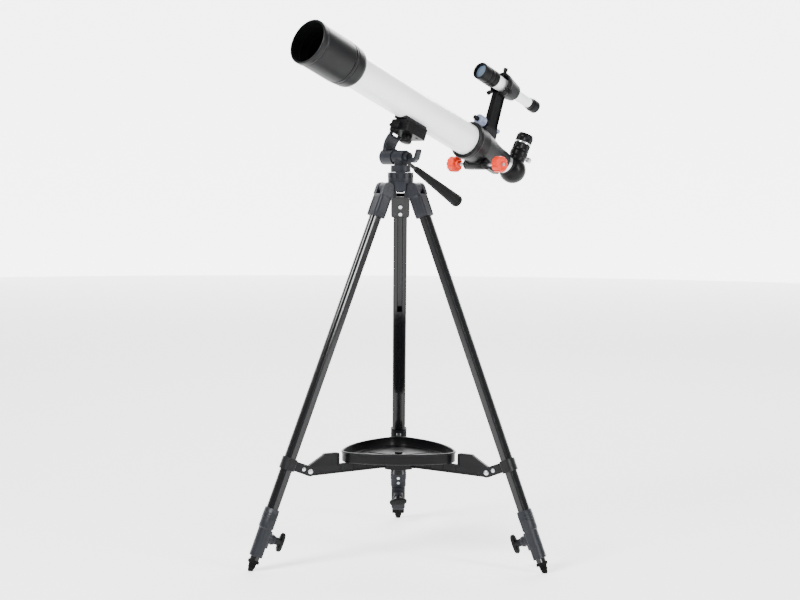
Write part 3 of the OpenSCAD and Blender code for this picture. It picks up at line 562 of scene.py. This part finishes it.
def tray_dish():
    low, high = (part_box("tray")[k].z / MM for k in (0, 1))
    bm = bmesh.new()
    section = [(12, low), (2.4, low), (1.2, low + 1.2), (1.2, high - 3.4), (0.3, high - 3.0), (0, high - 2.4),
               (0, high - 0.8), (0.6, high - 0.1), (1.5, high), (2.9, high - 0.1), (3.5, high - 0.9),
               (3.7, low + 4.2), (4.4, low + 2.9), (6, low + 2.4), (12, low + 2.4)]
    loft(bm, [tray_ring(d, z) for d, z in section])
    ridge = ((9, low + 2.3), (9.3, low + 3.0), (10.3, low + 3.0), (10.6, low + 2.3))
    loft(bm, [tray_ring(d, z) for d, z in ridge], loop=True)
    disc(bm, low + 2, low + 6.1, 12, X_UP, edge=1.2)
    for a in (30, 150, 270):
        block(bm, (13, -0.9, low + 2.2), (58, 0.9, low + 3.4), turn(a, "Z"))
    piece("tray_dish", bm, IDENTITY, "accessory_tray", "black_plastic", ["tray"], bevel=0.3)


tray_dish()


# ---- Head ----

GRIP_SPAN = 120.0
GRIP_DROOP = 6.5
GRIP_START = 64.0
GRIP_SLIM_R = 5.85
GRIP_WIDE_R = 10.4
PLATFORM_TOP = 51.3


def rectangle(half_x, half_y):
    return [(half_x, -half_y), (half_x, half_y), (-half_x, half_y), (-half_x, -half_y)]


def grip_sleeve():
    """Tapered handle grip with ribs along it and a rounded end."""
    front = -GRIP_START - local_point(TILT, "grip_turn").x / math.cos(math.radians(GRIP_DROOP))
    taper = GRIP_SPAN - 20
    end = -GRIP_SPAN
    profile = [(0, 3.6), (0, 4.3), (-1.5, 5.2), (-8, 5.7), (-8.4, 5.4), (-9.4, 5.4), (-9.8, GRIP_SLIM_R)]
    for n in range(27):
        profile.append((-9.8 - n * taper / 26, GRIP_SLIM_R + (GRIP_WIDE_R - GRIP_SLIM_R) * n / 26))
    profile += [(end + 9.6, 10.1), (end + 8.8, 10.1), (end + 8.4, 10.6), (end + 4, 10.8), (end + 1.2, 9.9),
                (end, 7.8), (end, 3.4), (end + 1, 3.0), (end + 1, 0)]
    bm = bmesh.new()
    flutes = ribs(18, 0.035, [(front + end + 10, front - 10)])
    lathe(bm, [(x + front, r) for x, r in profile], seg=144, flute=flutes)
    piece("grip_sleeve", bm, GRIP, "grip", "grip", ["handle_grip"], sharp=40)


def quick_plate():
    bm = bmesh.new()
    prism(bm, soft(rectangle(24, 20), 2.2, 4, True), PLATFORM_TOP, 56.8)
    prism(bm, soft(rectangle(23, 19), 2, 4, True), 56.8, 58.0)
    for n in range(11):
        x = -20 + n * 4
        block(bm, (x - 1.1, -18, 57.6), (x + 1.1, 18, 58.85))
    block(bm, (-17.7, -15.7, 45.1), (17.7, 15.7, 51.4))
    piece("quick_plate", bm, TILT, "scope", "black_plastic", ["plate"], bevel=0.4)


def camera_platform():
    """Platform with a pocket for the plate, a ribbed ring under it and the knuckle it flips on."""
    bm = bmesh.new()
    outline = soft(rectangle(24, 20), 2.6, 4, True)
    pocket = soft([(18, -16), (18, 19.0), (-18, 19.0), (-18, -16)], 0.8, 4, True)
    prism(bm, outline, 38, 45)
    sleeve(bm, outline, pocket, 45, 51)
    disc(bm, 25, 38.4, 9, X_UP, edge=1.2)
    disc(bm, 26.5, 31.5, 10.4, X_UP, seg=96, edge=0.6, flute=ribs(24, 0.06))
    knuckle = [(-18, 40.2), (-18, 47.8), (-25.5, 48)]
    knuckle += arc(-25.5, 44, 4, range(105, 270, 15)) + [(-25.5, 40)]
    prism(bm, knuckle, -7.2, 7.2, turn(90, "Z") @ STAND_UP)
    disc(bm, -12.4, 12.4, 2, move(0, -25.5, 44))
    for x in (-13, 13):
        for y in (-10, 10):
            disc(bm, 37.2, 38.2, 2.6, X_UP @ move(0, y, -x), edge=0.3)
    piece("camera_platform", bm, TILT, "scope", "black_plastic", ["platform"], bevel=0.5)


grip_sleeve()
quick_plate()
camera_platform()


# ---- Telescope tube ----

MOUTH_X = MOUTH.x / MM
CELL_FRONT = MOUTH_X - 75
CELL_REAR = CELL_FRONT - 30
COLLAR = -135.5
BODY_REAR = COLLAR - 101.5
RING = COLLAR - 43
TUBE_R = 27.5
TUBE_BORE = 26.3
SHADOW_LINE_R = 27.35
LENS_R = 26.7
LENS_CURVE = 90
PINION = local_point(TUBE, "focus_turn")
PINION_PLACE = move(PINION.x, 0, PINION.z)


def white_main_tube():
    bm = bmesh.new()
    tube = [(COLLAR - 14, TUBE_BORE), (COLLAR - 14, TUBE_R), (COLLAR - 1, TUBE_R),
            (COLLAR + 1.2, SHADOW_LINE_R), (COLLAR + 2.4, TUBE_R), (CELL_REAR - 2.6, TUBE_R),
            (CELL_REAR - 1.4, SHADOW_LINE_R), (CELL_REAR, TUBE_R), (CELL_FRONT - 6, TUBE_R),
            (CELL_FRONT - 6, TUBE_BORE)]
    lathe(bm, tube, seg=160, loop=True)
    piece("white_main_tube", bm, TUBE, "scope", "white_tube", ["main_tube"], sharp=25)


def dew_shield_shell():
    """Black shield with a raised rim, and two dark baffle rings inside."""
    bm = bmesh.new()
    rim = soft([(CELL_FRONT, 34.4), (CELL_FRONT, 35.3), (CELL_FRONT + 0.8, 36), (MOUTH_X - 13, 36),
                (MOUTH_X - 12, 35.6), (MOUTH_X - 11, 35.6), (MOUTH_X - 9.6, 37.3), (MOUTH_X - 1.4, 37.3),
                (MOUTH_X, 36.2), (MOUTH_X, 34.6)], 0.7, 4)
    lathe(bm, rim, seg=160)
    inner = [(MOUTH_X, 34.6), (MOUTH_X - 1, 34.05)]
    for x in (MOUTH_X - 18, MOUTH_X - 34):
        inner += [(x, 34.0), (x - 0.4, 33.4), (x - 1.2, 33.4), (x - 1.6, 34.0)]
    inner += [(CELL_FRONT + 18.6, 34.0), (CELL_FRONT + 18.5, 34.4), (CELL_FRONT, 34.4)]
    lathe(bm, inner, seg=160, mat=1)
    weld(bm)
    piece("dew_shield_shell", bm, TUBE, "scope", ["shield_black", "baffle"], ["dew_shield"], sharp=28)


def lens_cell_ring():
    bm = bmesh.new()
    outer = soft([(CELL_REAR, 27.6), (CELL_REAR, 29.6), (CELL_REAR + 3.6, 32.4), (CELL_REAR + 8, 33.8),
                  (CELL_FRONT - 8, 35.2), (CELL_FRONT - 7.2, 34.5), (CELL_FRONT - 6.2, 34.5),
                  (CELL_FRONT - 5.4, 35.5), (CELL_FRONT - 2, 35.7), (CELL_FRONT - 1, 35.1),
                  (CELL_FRONT - 1, 34.35), (CELL_FRONT + 18, 34.35), (CELL_FRONT + 18, 30)], 0.7, 4)
    lathe(bm, outer, seg=160)
    inner = [(CELL_FRONT + 18, 30), (CELL_FRONT + 16, 28.6), (CELL_FRONT + 10, 27.2),
             (CELL_FRONT + 9.4, 26.8), (CELL_FRONT, 26.8), (CELL_FRONT, 25.1), (CELL_FRONT - 5.9, 25.1),
             (CELL_FRONT - 5.9, 27.6), (CELL_REAR, 27.6)]
    lathe(bm, inner, seg=160, mat=1)
    weld(bm)
    piece("lens_cell_ring", bm, TUBE, "scope", ["shield_black", "baffle"], ["lens_cell"], sharp=28)


def front_lens():
    bm = bmesh.new()
    dome = [(CELL_FRONT + 0.2, 0), (CELL_FRONT + 0.2, 26.4), (CELL_FRONT + 0.6, LENS_R)]
    for n in range(12, -1, -1):
        r = LENS_R * n / 12
        dome.append((CELL_FRONT + 8 + math.sqrt(LENS_CURVE ** 2 - r * r) - LENS_CURVE, r))
    lathe(bm, dome, seg=96)
    piece("front_lens", bm, TUBE, "scope", "glass", ["objective_lens"])


def focuser_housing():
    """Tapered casting with the pinion's barrel and block, the finder's foot and the rack cover."""
    bm = bmesh.new()
    body = soft([(COLLAR, 27.6), (COLLAR, 32.2), (COLLAR - 1.2, 33.4), (COLLAR - 8.6, 33.4),
                 (COLLAR - 9.6, 32.4), (COLLAR - 10.6, 32.2), (COLLAR - 30, 31), (COLLAR - 52, 26.4),
                 (COLLAR - 76, 21), (BODY_REAR + 8, 19.4), (BODY_REAR + 7, 18.8), (BODY_REAR + 6, 19.1),
                 (BODY_REAR + 1, 18.4), (BODY_REAR, 17.8), (BODY_REAR, 15.15)], 1.2, 4)
    lathe(bm, body, seg=160)
    lathe(bm, [(BODY_REAR, 15.15), (COLLAR - 14.2, 15.15), (COLLAR - 14.2, 27.6), (COLLAR, 27.6)], seg=96)
    x, z = PINION.x, PINION.z
    for lo, hi, r in ((-24, -19, 9.2), (-19, 19, 9.6), (19, 24, 9.2)):
        disc(bm, lo, hi, r, PINION_PLACE @ turn(90, "Z"), edge=0.8)
    block(bm, (x - 13, -17, z - 2), (x + 13, 17, z + 14))
    block(bm, (x - 15.5, -12, z + 0.5), (x + 15.5, 12, z + 13))
    for dx in (-10.5, 10.5):
        for y in (-12, 12):
            disc(bm, z - 3.2, z - 1.8, 2.2, X_UP @ move(0, y, -x - dx), edge=0.3)
    foot_x = RING - 3
    block(bm, (foot_x - 15, -9, 24), (foot_x + 15, 9, 38.4))
    block(bm, (foot_x - 13, -10.2, 22), (foot_x + 13, 10.2, 34.6))
    for y in (-6.5, 3.7):
        block(bm, (BODY_REAR + 8, y, -26.3), (x - 6, y + 2.8, -14.5))
    block(bm, (BODY_REAR + 8, -6.5, -26.3), (x - 6, 6.5, -24.4))
    block(bm, (BODY_REAR + 8, -6.5, -26.3), (BODY_REAR + 10, 6.5, -15.5))
    piece("focuser_housing", bm, TUBE, "scope", "shield_black", ["focuser_body"], bevel=0.6)


def knob_edge(x, a):
    """Ten grooves round the rim."""
    deep = max(0.0, math.cos(10 * a) - 0.62) / 0.38
    return 1 - 0.115 * min(1, deep * 1.6)


def focus_wheel_pair():
    bm = bmesh.new()
    wheel = soft([(43.9, 3.1), (43.9, 11.2), (44.8, 13), (46, 13.8), (57, 13.8), (59, 13.1), (60, 11.8),
                  (60, 8.2), (59.2, 7.8), (59.2, 3.1)], 0.8, 4)
    hub = soft([(39.1, 3.1), (39.1, 6.8), (44, 7.2)], 0.5, 3)
    for side in (-1, 1):
        place = PINION_PLACE @ turn(90 * side, "Z")
        lathe(bm, wheel, place, 160, flute=knob_edge)
        lathe(bm, hub, place, 64)
    piece("focus_wheel_pair", bm, TUBE, "focus_pinion", "orange_knob", ["focus_knobs"], sharp=40)


white_main_tube()
dew_shield_shell()
lens_cell_ring()
front_lens()
focuser_housing()
focus_wheel_pair()


# ---- Diagonal and eyepiece ----

DIAG_X = BODY_REAR - 31
DIAG_R = 23.5
DRAW_REAR = BODY_REAR - 7
ROLLED = turn(-8, "X")
DIAGONAL = ROLLED @ move(DIAG_X, 0, 0)
EYE_AXIS = DIAGONAL @ X_UP


def diagonal_housing():
    """Rounded housing with a sleeve into the drawtube and a socket for the eyepiece."""
    bm = bmesh.new()
    neck = soft([(DRAW_REAR + 13.8, 11.2), (DRAW_REAR + 13.8, 13.1), (DRAW_REAR - 0.5, 13.1),
                 (DRAW_REAR - 0.5, 17.2), (DRAW_REAR - 1.2, 17.4), (DRAW_REAR - 5, 17.4),
                 (DRAW_REAR - 5.6, 16.8), (DIAG_X, 17)], 0.5, 3)
    lathe(bm, neck, seg=96)
    turns = [math.pi * n / 24 for n in range(1, 24)]
    ball = [(-DIAG_R, 0)] + [(-DIAG_R * math.cos(a), DIAG_R * math.sin(a)) for a in turns] + [(DIAG_R, 0)]
    lathe(bm, ball, DIAGONAL @ move(0, 0, -3) @ turn(90, "Y"), 96)
    socket = soft([(2, 14.4), (20, 14.6), (22.6, 14.6), (23.2, 15.8), (31.2, 15.8), (32, 15),
                   (32, 12.35), (14, 12.35)], 0.5, 3)
    lathe(bm, socket, EYE_AXIS, 96)
    lathe(bm, [(14, 12.35), (14, 10.8), (-10, 10.8)], EYE_AXIS, 64)
    piece("diagonal_housing", bm, TUBE, "star_diagonal", "black_plastic", ["diagonal"], sharp=30)


def ocular_barrel():
    """Eyepiece with two ribbed bands, a bright barrel and waist, and a glass face."""
    bm = bmesh.new()
    profile = soft([(16, 10.9), (16, 12.2), (30.5, 12.2), (32.5, 12.2), (32.5, 14), (33.4, 15), (36.4, 15),
                    (36.5, 14.8), (44.5, 14.8), (44.6, 15), (46.2, 15), (46.6, 14.2), (48.8, 14.2),
                    (49.2, 15), (50.4, 15), (50.5, 14.8), (56.6, 14.8), (56.7, 15), (59, 15), (62.6, 13.6),
                    (65, 12.2), (65, 10.6), (61.4, 9.6), (61, 0)], 0.35, 3)
    lathe(bm, profile, EYE_AXIS, 180, flute=ribs(30, 0.05, [(36.6, 44.4), (50.5, 56.5)]))
    to_axis = EYE_AXIS.inverted()
    for face in bm.faces:
        middle = to_axis @ face.calc_center_median()
        if 46.3 < middle.x < 49.1 or middle.x < 32.4:
            face.material_index = 1
        if middle.x > 60.9 and math.hypot(middle.y, middle.z) < 9.4:
            face.material_index = 2
    piece("ocular_barrel", bm, TUBE, "ocular", ["black_plastic", "chrome", "glass"], ["eyepiece"], sharp=32)


def ocular_thumbscrew():
    bm = bmesh.new()
    place = ROLLED @ move(DIAG_X, 0, 27)
    disc(bm, -23.4, -12.6, 1.95, place, edge=0.2)
    disc(bm, -32.0, -25.2, 5, place, 96, edge=0.8, flute=ribs(22, 0.07))
    disc(bm, -25.3, -23.4, 3.2, place, edge=0.4)
    piece("ocular_thumbscrew", bm, TUBE, "ocular_screw", "steel", ["eyepiece_screw"])


diagonal_housing()
ocular_barrel()
ocular_thumbscrew()


# ---- Finder ----

FINDER_HEIGHT = 122
FINDER = TUBE @ move(0, 0, FINDER_HEIGHT * MM)
FRONT = -122.5
BACK = -283.0
STEP = RING - 44
FOOT_Z = -FINDER_HEIGHT + TUBE_R + 11
FINDER_GLASS_R = 11.9
FINDER_GLASS_CURVE = 60
KNURL = ribs(26, 0.07)


def finder_white_tube():
    bm = bmesh.new()
    tube = soft([(STEP + 2, 11.2), (STEP + 2, 7.9), (STEP + 1, 7.9), (BACK + 8, 7.9), (BACK + 8, 9),
                 (STEP - 1, 9), (STEP, 10.4), (STEP + 1.5, 12.5), (FRONT - 8, 12.5),
                 (FRONT - 8, 11.4)], 0.4, 3)
    lathe(bm, tube, seg=128, loop=True)
    piece("finder_white_tube", bm, FINDER, "scope", "white_tube", ["finder_tube"], sharp=28)


def finder_front_cell():
    """Black cell with two grooves, a dark inside and the front lens."""
    bm = bmesh.new()
    outer = soft([(FRONT - 40, 12.56), (FRONT - 40, 14), (FRONT - 38.6, 15.1), (FRONT - 29.4, 15.1),
                  (FRONT - 28.6, 14.2), (FRONT - 26.2, 14.2), (FRONT - 25.4, 15.1), (FRONT - 19.6, 15.1),
                  (FRONT - 18.8, 14.2), (FRONT - 16.4, 14.2), (FRONT - 15.6, 15.25), (FRONT - 1, 15.25),
                  (FRONT, 14.4), (FRONT, 12.4), (FRONT - 3, 11.8)], 0.4, 3)
    lathe(bm, outer, seg=128)
    inner = [(FRONT - 3, 11.8), (FRONT - 3.4, 11.8), (FRONT - 7.9, 11.9), (FRONT - 7.9, 12.56),
             (FRONT - 40, 12.56)]
    lathe(bm, inner, seg=128, mat=1)
    weld(bm)
    glass = [(FRONT - 6.5, 0), (FRONT - 6.5, FINDER_GLASS_R)]
    for n in range(8, -1, -1):
        r = FINDER_GLASS_R * n / 8
        glass.append((FRONT - 4.6 + math.sqrt(FINDER_GLASS_CURVE ** 2 - r * r) - FINDER_GLASS_CURVE, r))
    lathe(bm, glass, seg=64, mat=2)
    looks = ["black_plastic", "baffle", "glass"]
    piece("finder_front_cell", bm, FINDER, "scope", looks, ["finder_cell"], sharp=28)


def finder_ocular_cup():
    bm = bmesh.new()
    outer = soft([(BACK + 22, 9.06), (BACK + 22, 10), (BACK + 15.6, 10), (BACK + 14, 11.4), (BACK + 2, 11.4),
                  (BACK, 10.2), (BACK, 7), (BACK + 3, 6)], 0.4, 3)
    lathe(bm, outer, seg=128, flute=ribs(24, 0.05, [(BACK + 3, BACK + 13)]))
    lathe(bm, [(BACK + 3, 6), (BACK + 3.4, 0)], seg=64, mat=1)
    lathe(bm, [(BACK + 22, 9.06), (BACK + 8, 9.06), (BACK + 7.9, 6)], seg=64)
    looks = ["black_plastic", "glass"]
    piece("finder_ocular_cup", bm, FINDER, "finder_ocular", looks, ["finder_eyepiece"], sharp=32)


def finder_stalk():
    """Cone-shaped ring on a webbed stalk, with bosses for the three aiming screws."""
    bm = bmesh.new()
    outer = soft([(RING, 18.6), (RING, 21), (RING - 1.2, 22), (RING - 9, 21.6), (RING - 10, 20.8),
                  (RING - 39, 15.3), (RING - 40, 14.8), (RING - 40, 12.6)], 0.5, 3)
    lathe(bm, outer, seg=128)
    inner = soft([(RING - 40, 12.6), (RING - 28, 12.7), (RING - 28, 13.2), (RING - 9, 18.5),
                  (RING, 18.6)], 0.4, 3)
    lathe(bm, inner, seg=128)
    stalk = [(RING - 15, -17.6), (RING - 17, FOOT_Z + 11), (RING - 18, FOOT_Z + 1),
             (RING - 17.4, FOOT_Z + 0.1), (RING + 9.2, FOOT_Z + 0.1), (RING + 10, FOOT_Z + 1),
             (RING + 10, FOOT_Z + 8), (RING + 5, FOOT_Z + 13), (RING + 5, -17.6)]
    prism(bm, stalk, -4.6, 4.6, STAND_UP)
    sleeve(bm, stalk, inset(stalk, 2.4), -6.5, 6.5, STAND_UP)
    disc(bm, RING + 9, RING + 14, 5, move(0, 0, FOOT_Z + 5.3), edge=0.5)
    block(bm, (RING - 16.6, -8.6, FOOT_Z + 0.1), (RING + 9, 8.6, FOOT_Z + 3.2))
    boss = soft([(20.6, 0), (20.6, 4), (24.2, 3.2), (24.2, 0)], 0.4, 3)
    for place in screw_places():
        lathe(bm, boss, place, 32)
    piece("finder_stalk", bm, FINDER, "scope", "black_plastic", ["finder_bracket"], bevel=0.5)


def screw_places():
    return [move(RING - 5, 0, 0) @ turn(a, "X") @ X_UP for a in (0, 120, 240)]


def finder_knurled_nuts():
    """Three aiming screws, the large nut at the foot and the round tips on its axis."""
    bm = bmesh.new()
    for place in screw_places():
        disc(bm, 12.7, 25.2, 1.7, place, 32, mat=1, edge=0.2)
        disc(bm, 25.1, 31, 4, place, 104, mat=1, edge=0.7, flute=KNURL)
    axis = move(0, 0, FOOT_Z + 5.3)
    disc(bm, RING + 14.1, RING + 29.1, 9.4, axis, 104, edge=1.0, flute=KNURL)
    disc(bm, RING + 29, RING + 38, 4, axis, 48, mat=1, edge=0.8)
    disc(bm, RING - 29, RING - 18.1, 4, axis, 48, edge=0.8)
    piece("finder_knurled_nuts", bm, FINDER, "scope", ["blue_nut", "black_plastic"], ["finder_screws"])


finder_white_tube()
finder_front_cell()
finder_ocular_cup()
finder_stalk()
finder_knurled_nuts()


# ---- CAD nodes that stay ----

SLOTS = {s["node"]: s["material_slot"] for s in frame["record"]["subparts"]}
SOFT_EDGED = ("crown", "pan_base", "pan_turret", "tilt_frame", "tilt_lever", "hub", "tray_knob",
              "pan_lock_screw", "plate_lever", "leg_clamp_1", "leg_clamp_2", "leg_clamp_3")
for name, obj in frame["nodes"].items():
    if obj.hide_render:
        continue
    obj.data.materials.clear()
    obj.data.materials.append(MATERIALS[SLOTS[name]])
    if name in SOFT_EDGED:
        add_bevel(obj, 0.45, 2)


# ---- Floor, light and camera ----

FLOOR_HALF = 30
FLOOR_Z = -0.0003
BACKDROP_R = 7
BACKDROP_Z = -0.5
BACKDROP_TOP = 7
BACKDROP_HALF_ANGLE = 48


def glowing(name, strength):
    """Pale studio paper that is lit evenly."""
    mat = bpy.data.materials.new(name)
    mat.use_nodes = True
    shader = mat.node_tree.nodes["Principled BSDF"]
    shader.inputs["Base Color"].default_value = (0.9, 0.9, 0.9, 1)
    shader.inputs["Roughness"].default_value = 0.8
    shader.inputs["Emission Color"].default_value = (1, 1, 1, 1)
    shader.inputs["Emission Strength"].default_value = strength
    return mat


def studio_paper(name, bm, z, strength):
    """Floor or backdrop, which is no part of the object."""
    mesh = bpy.data.meshes.new(name)
    bm.to_mesh(mesh)
    bm.free()
    obj = bpy.data.objects.new(name, mesh)
    bpy.context.scene.collection.objects.link(obj)
    obj.location.z = z
    mesh.materials.append(glowing(name, strength))


bm = bmesh.new()
bmesh.ops.create_grid(bm, x_segments=8, y_segments=8, size=FLOOR_HALF)
studio_paper("floor", bm, FLOOR_Z, 1.0)

bm = bmesh.new()
low_edge = []
for a in range(-BACKDROP_HALF_ANGLE, BACKDROP_HALF_ANGLE + 1, 6):
    t = math.radians(a)
    low_edge.append(bm.verts.new((BACKDROP_R * math.sin(t), BACKDROP_R * math.cos(t), BACKDROP_Z)))
top_edge = [bm.verts.new((v.co.x, v.co.y, BACKDROP_TOP)) for v in low_edge]
for k in range(len(low_edge) - 1):
    bm.faces.new((low_edge[k], low_edge[k + 1], top_edge[k + 1], top_edge[k]))
studio_paper("backdrop", bm, 0, 3.6)

world = bpy.data.worlds.new("studio")
bpy.context.scene.world = world
world.use_nodes = True
world.node_tree.nodes["Background"].inputs["Color"].default_value = (1, 1, 1, 1)
world.node_tree.nodes["Background"].inputs["Strength"].default_value = 0.6


def lamp(name, place, target, size, power):
    data = bpy.data.lights.new(name, "AREA")
    data.shape = "RECTANGLE"
    data.size, data.size_y = size
    data.energy = power
    obj = bpy.data.objects.new(name, data)
    bpy.context.scene.collection.objects.link(obj)
    obj.location = place
    obj.rotation_euler = (Vector(target) - Vector(place)).to_track_quat("-Z", "Y").to_euler()


lamp("key", (-1.8, -1.6, 2.4), (0, 0, 0.5), (0.9, 1.6), 210)
lamp("fill", (2.2, -1.4, 1.4), (0, 0, 0.45), (0.4, 1.8), 75)
lamp("rim", (0.6, 2.2, 2.0), (0, 0, 0.5), (1.6, 0.8), 40)

# The camera is 2.7 m in front and looks slightly down, with a small roll
CAMERA_PLACE = (0, -2.6843, 0.6391)
LENS = 73.59
PITCH = 0.0809
ROLL = 0.0074
PAN = 0.0002
look = Vector((math.sin(PAN) * math.cos(PITCH), math.cos(PAN) * math.cos(PITCH), -math.sin(PITCH)))
flat = Vector((math.cos(PAN), -math.sin(PAN), 0))
top = flat.cross(look)
right = math.cos(ROLL) * flat + math.sin(ROLL) * top
upward = -math.sin(ROLL) * flat + math.cos(ROLL) * top
camera_data = bpy.data.cameras.new("camera")
camera_data.sensor_width = 36
camera_data.sensor_fit = "HORIZONTAL"
camera_data.lens = LENS
camera_data.clip_start = 0.05
camera_data.clip_end = 100
camera = bpy.data.objects.new("camera", camera_data)
bpy.context.scene.collection.objects.link(camera)
place = Matrix((right, upward, -look)).transposed().to_4x4()
place.translation = Vector(CAMERA_PLACE)
camera.matrix_world = place
bpy.context.scene.camera = camera
